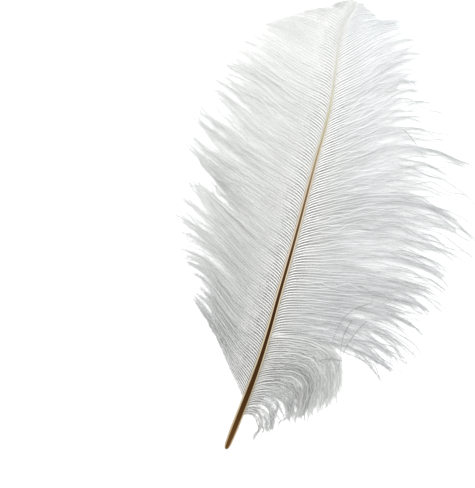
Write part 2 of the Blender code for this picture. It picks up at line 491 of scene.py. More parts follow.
@dataclass(frozen=True)
class HornFinish:
    """Horn of the shaft: a brown strip between cream shoulders, fading towards the tip.

    Its tables are by the share of the shaft's length. U of the map is that share, and V runs
    once around the shaft.
    """

    brown: Gradient = (
        (0.0, (0.110, 0.046, 0.009)), (0.10, (0.052, 0.020, 0.002)), (0.31, (0.036, 0.012, 0.001)),
        (0.44, (0.052, 0.024, 0.006)), (0.57, (0.132, 0.090, 0.046)), (0.67, (0.272, 0.228, 0.147)),
        (0.77, (0.414, 0.427, 0.333)), (0.84, (0.48, 0.48, 0.42)), (0.90, (0.54, 0.55, 0.50)),
        (1.0, (0.52, 0.53, 0.50)),
    )
    half_strip: Table = ((0.0, 0.090), (0.13, 0.106), (0.17, 0.097), (0.21, 0.082), (0.25, 0.072),
                         (0.34, 0.066), (0.42, 0.060), (0.56, 0.055), (0.80, 0.045), (1.0, 0.045))
    cream: Gradient = ((0.0, (0.44, 0.32, 0.18)), (0.20, (0.60, 0.52, 0.36)), (0.40, (0.64, 0.52, 0.38)),
                       (0.59, (0.63, 0.52, 0.39)), (0.73, (0.60, 0.56, 0.42)), (0.84, (0.62, 0.62, 0.54)),
                       (0.92, (0.64, 0.65, 0.60)), (1.0, (0.62, 0.63, 0.60)))
    strip_edge: Span = (0.82, 1.12)  # shares of the half strip where it fades
    grain: Streaks = Streaks(60.0, 40.0, 3.0)
    grain_share: float = 0.35  # how far the grain darkens the colour
    groove_depth: float = 0.00004  # metres
    groove_strength: float = 0.5
    roughness: float = 0.5
    specular: float = 0.06
    top: float = 0.25  # V of the middle of the upper face

    def build(self) -> Material:
        """Make the material.

        Returns:
            The material.
        """
        made = bpy.data.materials.new("horn")
        made.use_nodes = True
        tree = made.node_tree
        surface = tree.nodes["Principled BSDF"]
        u, v = map_axes(tree)
        off = maths(tree, "ABSOLUTE", maths(tree, "SUBTRACT", v, self.top))
        share = maths(tree, "DIVIDE", off, level_node(tree, u, self.half_strip))
        colour = mix(tree, "MIX", span_node(tree, share, *self.strip_edge),
                     ramp_node(tree, u, self.brown), ramp_node(tree, u, self.cream))
        grain = self.grain.add(tree)
        tree.links.new(mix(tree, "MULTIPLY", self.grain_share, colour, grain), surface.inputs["Base Color"])
        bump = tree.nodes.new("ShaderNodeBump")
        bump.inputs["Strength"].default_value = self.groove_strength
        bump.inputs["Distance"].default_value = self.groove_depth
        tree.links.new(grain, bump.inputs["Height"])
        tree.links.new(bump.outputs["Normal"], surface.inputs["Normal"])
        surface.inputs["Roughness"].default_value = self.roughness
        surface.inputs["Specular IOR Level"].default_value = self.specular
        return made


@dataclass
class Shaft:
    """Quill and rachis: a rounded bar with a broad shallow channel along its upper face."""

    line: ShaftLine
    finish: HornFinish = field(default_factory=HornFinish)
    rings: int = 180
    crowding: float = 1.15  # power of the rank of a ring: over 1, rings crowd at the quill's end
    corners: int = 32
    squareness: float = 0.75
    channel: float = 0.05  # depth of the channel, as a share of the shaft's height
    channel_half: float = 0.45  # half its width, as a share of the half width

    def build(self) -> bpy.types.Object:
        """Carry the cross-section along the shaft.

        A ring's point at angle a is the centre plus the half width times cos(a), raised to
        the power of the squareness, across, and the half height times sin(a), likewise, up.
        The upper side is lowered by the channel's depth times exp(-x^4), where x is the way
        across as a share of the channel's half width.

        Returns:
            The shaft, closed by a fan at each end.
        """
        stations = np.linspace(0.0, 1.0, self.rings) ** self.crowding * self.line.length
        here = np.arange(self.corners)
        angles = here / self.corners * 2 * np.pi
        centre = self.line.centre(stations)
        left, above = level_axes(self.line.along(stations))
        half = self.line.width(stations)[:, None] / 2
        flat = np.sign(np.cos(angles)) * np.abs(np.cos(angles)) ** self.squareness
        tall = np.sign(np.sin(angles)) * np.abs(np.sin(angles)) ** self.squareness
        dip = 2 * self.channel * np.exp(-(flat / self.channel_half) ** 4) * (tall > 0)
        across = half * flat
        up = half * self.line.height_share * (tall - dip)
        rings = centre[:, None] + left[:, None] * across[..., None] + above[:, None] * up[..., None]
        points = np.vstack([rings.reshape(-1, 3), centre[:1], centre[-1:]])
        v = here / self.corners
        sides, side_map = walls((stations / self.line.length)[None], v[None], 1 / self.corners)
        after = (here + 1) % self.corners
        last = (self.rings - 1) * self.corners
        base = np.stack([after, here, np.full_like(here, len(points) - 2)], -1)
        tip = np.stack([last + here, last + after, np.full_like(here, len(points) - 1)], -1)
        spot = np.array([[0.0, 0.0], [0.0, 2 * CAP_SIZE], [CAP_SIZE, 0.0]])
        cap = np.stack([0 * v, v], -1)[:, None] + spot
        faces = np.vstack([sides, base, tip])
        uv = np.concatenate([side_map, cap, cap + np.array([END_U, 0.0])])
        return add_piece("shaft", points, faces, uv, self.finish.build(), True)


# ---- finish of the barbs ---------------------------------------------------------------
DOWN_STREAKS = Streaks(4.0, 150.0, 1.0)
STREAK_EDGES = (0.38, 0.62)  # strengths of the noise between dark and light
STREAKS_SET_IN = (0.05, 0.3)  # shares of a barb's length between which its streaks set in


def down_group() -> Tree:
    """Get the shared group that colours barbs and barbules, and make it on its first use.

    The colour turns from Near by the shaft through Middle, at the share Turn, to Far, at the
    share Full. Streaks along the barb, down to the brightness Dark, set in beyond the root.
    Tips is the share of the far colour that shows, and Streaks that of the streaks. Tone dims
    the whole.

    Returns:
        The group.
    """
    name = "down"
    if name in bpy.data.node_groups:
        return bpy.data.node_groups[name]
    colours = ("Near", "Middle", "Far", "Tone", "Tips", "Streaks")
    made, inlet, result = open_group(name, colours, ("Turn", "Full", "Dark"), "Color", "Color")
    given = inlet.outputs
    u, _ = map_axes(made)
    inner = span_node(made, u, 0.0, given["Turn"])
    outer = maths(made, "MULTIPLY", span_node(made, u, given["Turn"], given["Full"]), given["Tips"])
    colour = mix(made, "MIX", inner, given["Near"], given["Middle"])
    colour = mix(made, "MIX", outer, colour, given["Far"])
    colour = mix(made, "MULTIPLY", 1.0, colour, given["Tone"])
    depth = maths(made, "SUBTRACT", 1.0, given["Dark"])
    depth = maths(made, "MULTIPLY", depth, span_node(made, u, *STREAKS_SET_IN))
    depth = maths(made, "MULTIPLY", depth, given["Streaks"])
    lack = maths(made, "SUBTRACT", 1.0, span_node(made, DOWN_STREAKS.add(made), *STREAK_EDGES))
    level = maths(made, "SUBTRACT", 1.0, maths(made, "MULTIPLY", depth, lack))
    shade = made.nodes.new("ShaderNodeCombineColor")
    for channel in ("Red", "Green", "Blue"):
        made.links.new(level, shade.inputs[channel])
    made.links.new(mix(made, "MULTIPLY", 1.0, colour, shade.outputs["Color"]), result)
    return made


@dataclass(frozen=True)
class BarbFinish:
    """White horn of barbs and barbules: a warm grey by the shaft, a cool white farther out. The grey by the
    shaft is a warm tint, partly painted shade.
    """

    name: str
    near: Colour
    middle: Colour
    far: Colour
    tones: Table  # (rank, brightness)
    tips: Table  # (rank, share of the far colour)
    streaks: Table  # (rank, share of the streaks)
    dark: float = 0.75  # how bright the darkest streaks are
    turn: float = 0.4  # share of the barb at which the middle colour is reached
    full: float = 1.0  # share of the barb at which the far colour is reached
    roughness: float = 0.6
    specular: float = 0.3

    def build(self) -> Material:
        """Make the material.

        Returns:
            The material.
        """
        made = bpy.data.materials.new(self.name)
        made.use_nodes = True
        tree = made.node_tree
        surface = tree.nodes["Principled BSDF"]
        _, v = map_axes(tree)
        look = place_group(tree, down_group(), Near=(*self.near, 1.0), Middle=(*self.middle, 1.0),
                           Far=(*self.far, 1.0), Turn=self.turn, Full=self.full, Dark=self.dark)
        for name, table in (("Tone", self.tones), ("Tips", self.tips), ("Streaks", self.streaks)):
            tree.links.new(level_node(tree, v, table), look.inputs[name])
        tree.links.new(look.outputs["Color"], surface.inputs["Base Color"])
        surface.inputs["Roughness"].default_value = self.roughness
        surface.inputs["Specular IOR Level"].default_value = self.specular
        return made


WARM_WHITE = (0.985, 1.0, 0.985)
COOL_WHITE = (0.98, 1.0, 1.005)


@dataclass(frozen=True)
class Palette:
    """Colours of one part of the plume. Tables are by station.

    A level is the brightness of a tint, before its table of tones dims it. Much of the grey is painted
    shade: the lining's dark tones, the grey of fringe and underdown by the shaft, the greyer underdown, the
    darker barbs of the rows below and the darker far part of each barb.
    """

    tint: Colour
    horn_tones: Table
    down_tones: Table  # of fringe and underdown
    # painted shade: these tones darken the lining, for the shade in the gaps between barbs by the shaft
    lining_painted_shade: Table
    tips: Table = ((150.0, 1.0), (180.0, 0.45), (196.0, 0.1), (220.0, 0.0))  # share of the far colour
    down_tips: Table | None = None  # the same for fringe and underdown, if it isn't the same table
    horn_root: Colour = (1.0, 0.995, 0.97)
    shaded_under_root: Colour = (0.74, 0.73, 0.70)  # the same in the rows below, darker as painted shade
    lining_root: Colour = (0.94, 0.93, 0.89)
    # greyer by the shaft than farther out: a warm tint, darkened as painted shade of the gaps, most in the
    # underdown
    fringe_root: Colour = (0.79, 0.78, 0.75)
    underdown_root: Colour = (0.60, 0.60, 0.57)
    horn_level: float = 0.95
    # painted shadow side: a barb darkens towards its tip, as far as its table of tips lets the far colour
    # show
    horn_shaded_far: float = 0.62
    horn_turn: float = 0.2
    horn_full: float = 0.8
    lining_level: float = 1.6
    lining_turn: float = 0.12
    fringe_level: float = 0.96
    fringe_far: float = 1.0
    # the underdown is greyer than the fringe: painted shade of the lower, drooping barbules
    underdown_level: float = 0.86
    underdown_far: float = 0.86
    dark: float = 0.75  # of fringe and underdown

    def grey(self, level: float) -> Colour:
        """Bring the tint to a level."""
        return tuple(float(channel) for channel in level * np.array(self.tint))


LEFT_LOOK = Palette(
    WARM_WHITE,
    horn_tones=((26, 0.65), (52, 0.67), (65, 0.74), (78, 0.80), (95, 0.84), (120, 0.88),
                (150, 0.91), (178, 0.90), (193, 0.84), (205, 0.74), (220, 0.66)),
    down_tones=((26, 0.49), (55, 0.55), (73, 0.63), (90, 0.68), (113, 0.715), (135, 0.765),
                (162, 0.85), (188, 0.78), (203, 0.65), (220, 0.61)),
    lining_painted_shade=((26, 0.28), (49, 0.22), (68, 0.14), (84, 0.10), (133, 0.13),
                  (166, 0.25), (186, 0.42), (200, 0.52), (220, 0.52)),
    tips=((26, 0.2), (65, 0.35), (104, 0.6), (143, 0.60), (172, 0.3), (197, 0.1), (220, 0.05)),
    down_tips=((26, 1.0), (113, 1.0), (140, 0.75), (172, 0.5), (220, 0.5)),
    lining_turn=0.2, fringe_level=1.0, fringe_far=1.3, underdown_level=0.89,
    underdown_far=1.118, dark=0.62,
)
RIGHT_LOOK = Palette(
    COOL_WHITE,
    horn_tones=LEFT_LOOK.horn_tones,
    down_tones=((55, 0.91), (73, 0.89), (95, 0.92), (121, 0.93), (154, 0.95), (196, 1.0),
                (207, 0.98), (220, 0.90)),
    lining_painted_shade=((55, 0.38), (68, 0.30), (88, 0.17), (113, 0.15), (146, 0.20),
                  (174, 0.34), (190, 0.50), (206, 0.50), (220, 0.50)),
)
TUFT_LOOK = Palette(
    WARM_WHITE,
    horn_tones=((18, 0.78), (58, 0.84)),
    down_tones=((18, 0.67), (42, 0.69), (50, 0.78), (58, 0.92)),
    lining_painted_shade=((18, 0.20), (58, 0.20)),
    horn_root=(0.72, 0.71, 0.68), horn_shaded_far=0.651, fringe_far=1.05, underdown_far=0.903,
)
EVEN = ((0.0, 1.0), (1.0, 1.0))
# flat dark grey: the loose barbs show as thin dark lines over the pale vane
BARE_GREY = (0.3, 0.3, 0.3)
BARE_HORN = BarbFinish("bare_horn", BARE_GREY, BARE_GREY, BARE_GREY, EVEN, EVEN, EVEN)


# ---- barbs -----------------------------------------------------------------------------
@dataclass(frozen=True)
class Guide:
    """How a barb grows at one station: its length, and its heading at the guide places."""

    station: float
    length: float
    headings: tuple[float, float, float, float, float]


GUIDE_PLACES = (0.0, 0.15, 0.33, 0.67, 1.0)  # shares of a barb's length


@dataclass(frozen=True)
class Habit:
    """How the barbs of every row cling, stray and wave. Shares are of a barb's length."""

    rank_jitter: float = 0.1  # how far a root strays, as a share of the space between two
    longest: float = 1.04  # share of the guide's length that a barb has, before it is ragged
    gathering: Span = (0.25, 0.8)  # shares between which a lock's barbs close up
    parting: Span = (0.8, 1.0)  # shares between which strands and locks open again
    strand_parting: float = 0.4  # how far a strand opens again
    lock_parting: float = 0.5  # how far a lock does
    straying: Span = (0.15, 1.0)  # shares between which strays grow
    crossing: Span = (0.5, 1.1)  # shares between which the ends of strands cross
    crossings: Span = (0.2, 1.2)  # least and most of a crossing, as shares of the row's
    tails: float = 3.0  # degrees of freedom: few barbs stray far, most stay by their neighbours
    farthest: float = 5.0  # most that a barb strays, as a multiple of the row's stray
    flow_in: Span = (8.0, 45.0)  # mm from the shaft between which the broad bends set in
    strand_flow: float = 0.4  # height of a strand's own bends, as a share of the broad ones
    strand_bends: Span = (20.0, 45.0)  # mm, their least and most length
    strand_flow_in: Span = (8.0, 40.0)  # mm from the shaft between which they set in
    wave_in: Span = (4.0, 20.0)  # mm from the shaft between which small waves set in
    lowest: float = 0.15  # mm, least height of a centre line


HABIT = Habit()


@dataclass(frozen=True)
class BarbLines:
    """Centre lines of a row of barbs.

    points is (barbs, places, 3) in millimetres, share (barbs, places) the share of the
    guide's length at each place, lengths (barbs,) each barb's length along its curve, and
    girths (barbs,) each barb's thickness as a share of the usual one.
    """

    points: np.ndarray
    share: np.ndarray
    lengths: np.ndarray
    girths: np.ndarray

    def read(self, barb: np.ndarray, place: np.ndarray) -> tuple[np.ndarray, np.ndarray]:
        """Read barbs between their places.

        Args:
            barb: which barb is read.
            place: where along it, from 0 to 1.

        Returns:
            A point and a tangent for each.
        """
        spans = self.points.shape[1] - 1
        at = np.clip(place, 0.0, 1.0) * spans
        i = np.minimum(at.astype(int), spans - 1)
        near, far = self.points[barb, i], self.points[barb, i + 1]
        return near + (far - near) * (at - i)[:, None], unit(far - near)


@dataclass(frozen=True)
class BarbuleRow:
    """How one kind of barbule grows on a barb."""

    kind: Down
    spacing: float
    span: Span  # mm from the shaft where the row begins and ends
    most: float  # share of the barb that it covers at most
    reach: Table  # (mm from the shaft, mm of length)
    spread: Span  # least and most degrees from the barb's direction
    lift: Span  # mean and spread of the degrees above the level
    thickness: Table  # (mm from the shaft, mm from the middle of a barbule's base to its corners)
    taper: float = 0.5  # share of the length that is lost towards the barb's tip


LINING = BarbuleRow(Down.LINING, 0.23, (0.5, 12.0), 0.32,
                    ((0.0, 0.9), (4.0, 1.2), (8.0, 0.9), (13.0, 0.5)),
                    (30.0, 70.0), (-34.0, 10.0), ((0.0, 0.13), (8.0, 0.13), (18.0, 0.09)))
FRINGE = BarbuleRow(Down.FRINGE, 0.46, (4.5, 120.0), 1.0,
                    ((0.0, 0.5), (5.0, 0.7), (12.0, 1.4), (25.0, 1.6), (40.0, 1.0), (90.0, 0.8)),
                    (8.0, 21.0), (-6.0, 9.0), ((0.0, 0.065), (120.0, 0.065)))
UNDERDOWN = BarbuleRow(Down.UNDERDOWN, 0.52, (5.0, 120.0), 1.0,
                       ((0.0, 1.2), (5.0, 1.8), (12.0, 2.8), (30.0, 3.4), (60.0, 3.2), (90.0, 2.8)),
                       (20.0, 55.0), (-30.0, 18.0), ((0.0, 0.06), (25.0, 0.06), (50.0, 0.075)),
                       taper=0.25)


@dataclass
class Vane:
    """A row of barbs along one side of the shaft."""

    name: str
    side: Side
    first: float
    last: float
    count: int
    guides: tuple[Guide, ...]
    seed: int
    palette: Palette
    crowd: Table = ((20.0, 1.0), (190.0, 1.0), (204.0, 1.15), (221.0, 1.5))  # (station, closeness)
    girth: Table = ((0.0, 1.0), (190.0, 0.95), (220.0, 0.65))  # (station, thickness as a share)
    strands: tuple[int, int] = (1, 3)  # fewest and most barbs that cling together
    locks: tuple[int, int] = (5, 10)  # fewest and most barbs in a lock
    cling: float = 0.55  # how far a strand's barbs close up
    closing: Span = (0.1, 0.6)  # shares between which they close up
    gather: float = 0.12  # how far a lock's barbs close up
    looseness: Table = ((20.0, 1.0), (220.0, 1.0))  # (station, share of strays and waves)
    drift: float = 0.4  # mm along the shaft that a lock strays by, at its tips
    stray: float = 0.8  # mm along the shaft that strands and barbs stray by, at their tips
    ends: float = 2.0  # mm along the shaft that the ends of strands cross each other by
    flow: float = 1.0  # mm, height of the broad bends that neighbours share
    wave: float = 0.2  # mm, height of a barb's small waves
    waves: Span = (7.0, 14.0)  # mm, least and most length of the small waves
    layers: float = 0.6  # mm that strands lie above and below each other
    root_share: float = 0.7  # how far out on the shaft's half width the roots stand
    root_heading: float = 66.0  # heading of a barb where it leaves the shaft
    bend_length: float = 2.7  # mm over which it turns to the guides' heading
    sunk: float = 0.0  # mm that the row lies under the plain curves
    ragged: float = 0.05  # share of a barb's length by which the locks' ends differ
    thin: Table = ((0.0, 0.12), (220.0, 0.12))  # (station, share of the length that some lack)
    rows: tuple[BarbuleRow, ...] = (LINING, FRINGE, UNDERDOWN)
    places: int = 30

    def family(self, shaft: ShaftLine) -> tuple[np.ndarray, np.ndarray, np.ndarray]:
        """Work out the plain barb curve at every station.

        A curve starts on the shaft, and each step adds a piece of its length in the
        direction of its heading, which turns from guide to guide and from root to tip. Its
        height falls from the shaft's to the surface with the square of the share.

        Args:
            shaft: the line that the barbs grow from.

        Returns:
            Stations, shares, and the (stations, shares, 3) grid of points.
        """
        apart = 0.5  # mm between stations
        margin = 0.1  # mm, so that the last station is kept
        steps = 90
        reach = 1.15  # the longest barb, as a share of its guide's length
        touch = 0.2  # mm, height of a barb's end
        stations = np.arange(self.guides[0].station, self.guides[-1].station + margin, apart)
        shares = np.linspace(0.0, reach, steps + 1)
        length = smooth(stations, tuple((g.station, g.length) for g in self.guides))
        headings = smooth(stations, tuple((g.station, g.headings) for g in self.guides))
        middles = (shares[1:] + shares[:-1]) / 2
        weights = smooth(middles, tuple(zip(GUIDE_PLACES, np.eye(len(GUIDE_PLACES)))))
        lean = np.maximum(self.root_heading - headings[:, :1], 0.0)
        turn = np.radians(headings @ weights.T
                          + lean * np.exp(-length[:, None] * middles[None] / self.bend_length))
        run = (length * reach / steps)[:, None, None]
        moves = run * np.stack([self.side.value * np.cos(turn), np.sin(turn)], axis=-1)
        root = shaft.side(np.clip(stations, 0.0, shaft.length), self.side.value * self.root_share)
        flat = np.concatenate([0 * moves[:, :1], np.cumsum(moves, axis=1)], axis=1) + root[:, None, :2]
        fall = np.minimum(shares, 1.0)[None] ** 2
        height = root[:, 2:] + (touch - root[:, 2:]) * fall
        return stations, shares, np.concatenate([flat, height[..., None]], axis=-1)

    def spread(self, ranks: np.ndarray) -> np.ndarray:
        """Find the stations of ranks, closer together where the vane crowds.

        Args:
            ranks: ranks from 0 to 1.

        Returns:
            A station for each.
        """
        samples = 400
        fine = np.linspace(self.first, self.last, samples)
        filled = np.cumsum(straight(fine, self.crowd))
        return np.interp(filled[0] + ranks * (filled[-1] - filled[0]), filled, fine)

    def roots(self, rng: np.random.Generator) -> np.ndarray:
        """Spread the barbs' roots over the row, each a little out of its place."""
        order = np.arange(self.count) + rng.uniform(-HABIT.rank_jitter, HABIT.rank_jitter, self.count)
        return self.spread(np.clip(order / (self.count - 1), 0.0, 1.0))

    def by_rank(self, table: Table) -> Table:
        """Turn a table by station into one by rank, with as many stops as a colour ramp takes.

        Args:
            table: (station, value) pairs.

        Returns:
            (rank, value) pairs.
        """
        stops = 20
        ranks = np.linspace(0.0, 1.0, stops)
        return tuple(zip(ranks.tolist(), straight(self.spread(ranks), table).tolist()))

    def drawn_together(self, root: np.ndarray, share: np.ndarray, strand: np.ndarray,
                       lock: np.ndarray, loose: np.ndarray) -> np.ndarray:
        """Move barbs towards the middles of their strands, and these towards their locks'.

        Args:
            root: (barbs,) stations of the roots.
            share: (barbs, places) shares of the places.
            strand: (barbs,) each barb's strand.
            lock: (barbs,) each barb's lock.
            loose: (barbs,) each barb's looseness.

        Returns:
            (barbs, places) station of the plain curve that each place follows.
        """
        close = np.minimum(1.0, loose)[:, None]
        part = ramp(share, *HABIT.parting)
        cling = self.cling * close * ramp(share, *self.closing) * (1 - HABIT.strand_parting * part)
        gather = self.gather * close * ramp(share, *HABIT.gathering) * (1 - HABIT.lock_parting * part)
        station = root[:, None] + (means(strand, root) - root)[:, None] * cling
        return station + (means(lock, root)[:, None] - station) * gather

    def astray(self, rng: np.random.Generator, share: np.ndarray, strand: np.ndarray,
               lock: np.ndarray, loose: np.ndarray) -> np.ndarray:
        """Find how far barbs stray from their places along the shaft.

        A lock, a strand and a barb stray by a random distance each, and the ends of strands
        cross to one side and the other in turn.

        Args:
            rng: the row's random numbers.
            share: (barbs, places) shares of the places.
            strand: (barbs,) each barb's strand.
            lock: (barbs,) each barb's lock.
            loose: (barbs,) each barb's looseness.

        Returns:
            (barbs, places) millimetres along the shaft.
        """
        far = HABIT.farthest
        astray = self.drift * rng.normal(0.0, 1.0, self.count)[lock]
        astray += self.stray * np.clip(rng.standard_t(HABIT.tails, self.count), -far, far)[strand]
        astray += self.stray * np.clip(rng.standard_t(HABIT.tails, self.count), -far, far)
        in_turn = np.resize([1.0, -1.0], self.count)
        ends = self.ends * (rng.uniform(*HABIT.crossings, self.count) * in_turn)[strand]
        return ((astray * loose)[:, None] * ramp(share, *HABIT.straying)
                + (ends * loose)[:, None] * ramp(share, *HABIT.crossing))

    def swing(self, rng: np.random.Generator, station: np.ndarray, out: np.ndarray,
              strand: np.ndarray) -> np.ndarray:
        """Find how far barbs swing to their left: broad bends, strands' bends, small waves.

        Args:
            rng: the row's random numbers.
            station: (barbs, places) stations of the curves that the places follow.
            out: (barbs, places) distances from the shaft.
            strand: (barbs,) each barb's strand.

        Returns:
            (barbs, places) millimetres.
        """
        swing = self.flow * ramp(out, *HABIT.flow_in) * broad_noise(rng, station, out)
        bends = ripple(rng, strand, out, HABIT.strand_flow * self.flow, HABIT.strand_bends)
        swing += bends * ramp(out, *HABIT.strand_flow_in)
        small = ripple(rng, np.arange(self.count), out, self.wave, self.waves)
        return swing + small * ramp(out, *HABIT.wave_in)

    def lines(self, shaft: ShaftLine) -> BarbLines:
        """Lay the barbs out between the plain curves.

        A barb follows the plain curve of a station that changes along its length: its own
        at the root, and more and more that of its strand's middle, plus a random drift.

        Args:
            shaft: the line that the barbs grow from.

        Returns:
            The centre lines.
        """
        rng = np.random.default_rng(self.seed)
        stations, shares, grid = self.family(shaft)
        root = self.roots(rng)
        strand, lock = (groups(rng, self.count, sizes) for sizes in (self.strands, self.locks))
        loose = straight(root, self.looseness)
        reach = HABIT.longest + self.ragged * rng.uniform(-1.0, 1.0, self.count)[lock]
        reach = reach * (1.0 - straight(root, self.thin) * rng.random(self.count) ** 2)
        share = reach[:, None] * np.linspace(0.0, 1.0, self.places)[None]
        station = self.drawn_together(root, share, strand, lock, loose)
        station = station + self.astray(rng, share, strand, lock, loose)
        station = np.clip(station, stations[0], stations[-1])
        layer = rng.uniform(-self.layers, self.layers, self.count)[strand]
        points = read_grid(grid, np.interp(station, stations, np.arange(len(stations))),
                           np.interp(share, shares, np.arange(len(shares))))
        left, _ = level_axes(unit(np.gradient(points, axis=1)))
        lengths = run_lengths(points)
        swing = self.swing(rng, station, lengths[:, None] * share, strand)
        points = points + left * (swing * loose[:, None])[..., None]
        points[..., 2] += layer[:, None] * np.sin(np.pi * np.minimum(share, 1.0)) - self.sunk
        points[..., 2] = np.maximum(points[..., 2], HABIT.lowest)
        return BarbLines(points, share, lengths, straight(root, self.girth))


def groups(rng: np.random.Generator, count: int, sizes: tuple[int, int]) -> np.ndarray:
    """Put barbs in groups of neighbours, of random sizes, and return each barb's group."""
    return np.repeat(np.arange(count), rng.integers(sizes[0], sizes[1] + 1, count))[:count]


def means(group: np.ndarray, values: np.ndarray) -> np.ndarray:
    """Give each barb the mean of its group's values."""
    return (np.bincount(group, values) / np.maximum(np.bincount(group), 1))[group]


def broad_noise(rng: np.random.Generator, x: np.ndarray, y: np.ndarray) -> np.ndarray:
    """Add up plane waves of random direction and length, to about -1 to 1.

    Args:
        rng: the row's random numbers.
        x: first coordinate, in millimetres.
        y: second coordinate.

    Returns:
        The noise at each place.
    """
    waves = 8
    wavelengths = (14.0, 50.0)  # mm, least and most
    total = np.zeros(np.broadcast(x, y).shape)
    for _ in range(waves):
        length = rng.uniform(*wavelengths)
        angle, phase = rng.uniform(0, np.pi), rng.uniform(0, 2 * np.pi)
        total += np.sin(2 * np.pi * (x * np.cos(angle) + y * np.sin(angle)) / length + phase)
    return total / (waves / 2)


def ripple(rng: np.random.Generator, group: np.ndarray, out: np.ndarray, height: float,
           wavelengths: Span) -> np.ndarray:
    """Give each group of barbs a sine wave of its own along the distance out.

    Args:
        rng: the row's random numbers.
        group: (barbs,) each barb's group.
        out: (barbs, places) distances from the shaft.
        height: the waves' usual height.
        wavelengths: their least and most length.

    Returns:
        (barbs, places) height of the wave.
    """
    number = int(group.max()) + 1
    length = rng.uniform(*wavelengths, number)[group][:, None]
    phase = rng.uniform(0, 2 * np.pi, number)[group][:, None]
    swing = rng.normal(0.0, height, number)[group][:, None]
    return swing * np.sin(2 * np.pi * out / length + phase)


@dataclass
class Barbs:
    """The barbs of one vane, as three-sided tapered tubes.

    radii gives a barb's radius by the distance from the shaft.
    """

    vane_name: str
    lines: BarbLines
    finish: Material
    radii: Table = ((0.0, 0.20), (1.2, 0.25), (2.5, 0.32), (4.5, 0.33), (6.5, 0.28), (9.0, 0.22),
                    (13.0, 0.175), (25.0, 0.15), (45.0, 0.14), (90.0, 0.115))
    tip_radius: float = 0.04
    pointed: Span = (0.85, 1.0)  # shares between which a barb thins to its tip
    sides: int = 3

    def build(self) -> bpy.types.Object:
        """Sweep a triangle with its flat side up along every barb.

        A ring's corner at angle a is the centre plus the radius times cos(a) to the left and
        sin(a) upwards. The radius falls with the distance from the shaft and to the tip. One
        triangle closes each end.

        Returns:
            The barbs, each a closed tube.
        """
        points = self.lines.points
        barbs, places, _ = points.shape
        left, above = level_axes(unit(np.gradient(points, axis=1)))
        part = np.linspace(0.0, 1.0, places)[None]
        radius = self.lines.girths[:, None] * smooth(self.lines.lengths[:, None] * part, self.radii)
        thinned = ramp(part, *self.pointed)
        radius = radius * (1 - thinned) + self.tip_radius * thinned
        angles = -np.pi / 2 + np.arange(self.sides) * 2 * np.pi / self.sides
        ring = (left[:, :, None] * np.cos(angles)[:, None]
                + above[:, :, None] * np.sin(angles)[:, None])
        shape = points[:, :, None] + ring * radius[..., None, None]
        strip = band(barbs)
        height = strip[1] / self.sides
        rank = strip[0][:, None]
        u = self.lines.share / max(1.0, float(self.lines.share.max()))
        sides, side_map = walls(u, rank + np.arange(self.sides) * height, height)
        first = np.arange(barbs) * places * self.sides
        last = first + (places - 1) * self.sides
        faces = np.vstack([
            sides, np.stack([first, first + 2, first + 1], -1), np.stack([last, last + 1, last + 2], -1),
        ])
        spot = np.array([[0.0, 0.0], [CAP_SIZE, 0.0], [0.0, height]])
        cap = np.stack([0 * rank, rank], -1) + spot
        uv = np.concatenate([side_map, cap, cap + np.array([END_U, 0.0])])
        return add_piece(f"{self.vane_name}_barbs", shape.reshape(-1, 3), faces, uv,
                         self.finish, True)


def band(barbs: int) -> tuple[np.ndarray, float]:
    """Give each barb a band across the map, with a gap to its neighbours: starts and height."""
    gap = 0.1
    return (np.arange(barbs) + gap) / barbs, (1 - 2 * gap) / barbs


SPIKE = np.array([[0, 1, 3], [1, 2, 3], [2, 0, 3], [0, 2, 1]])  # three sides, then the base


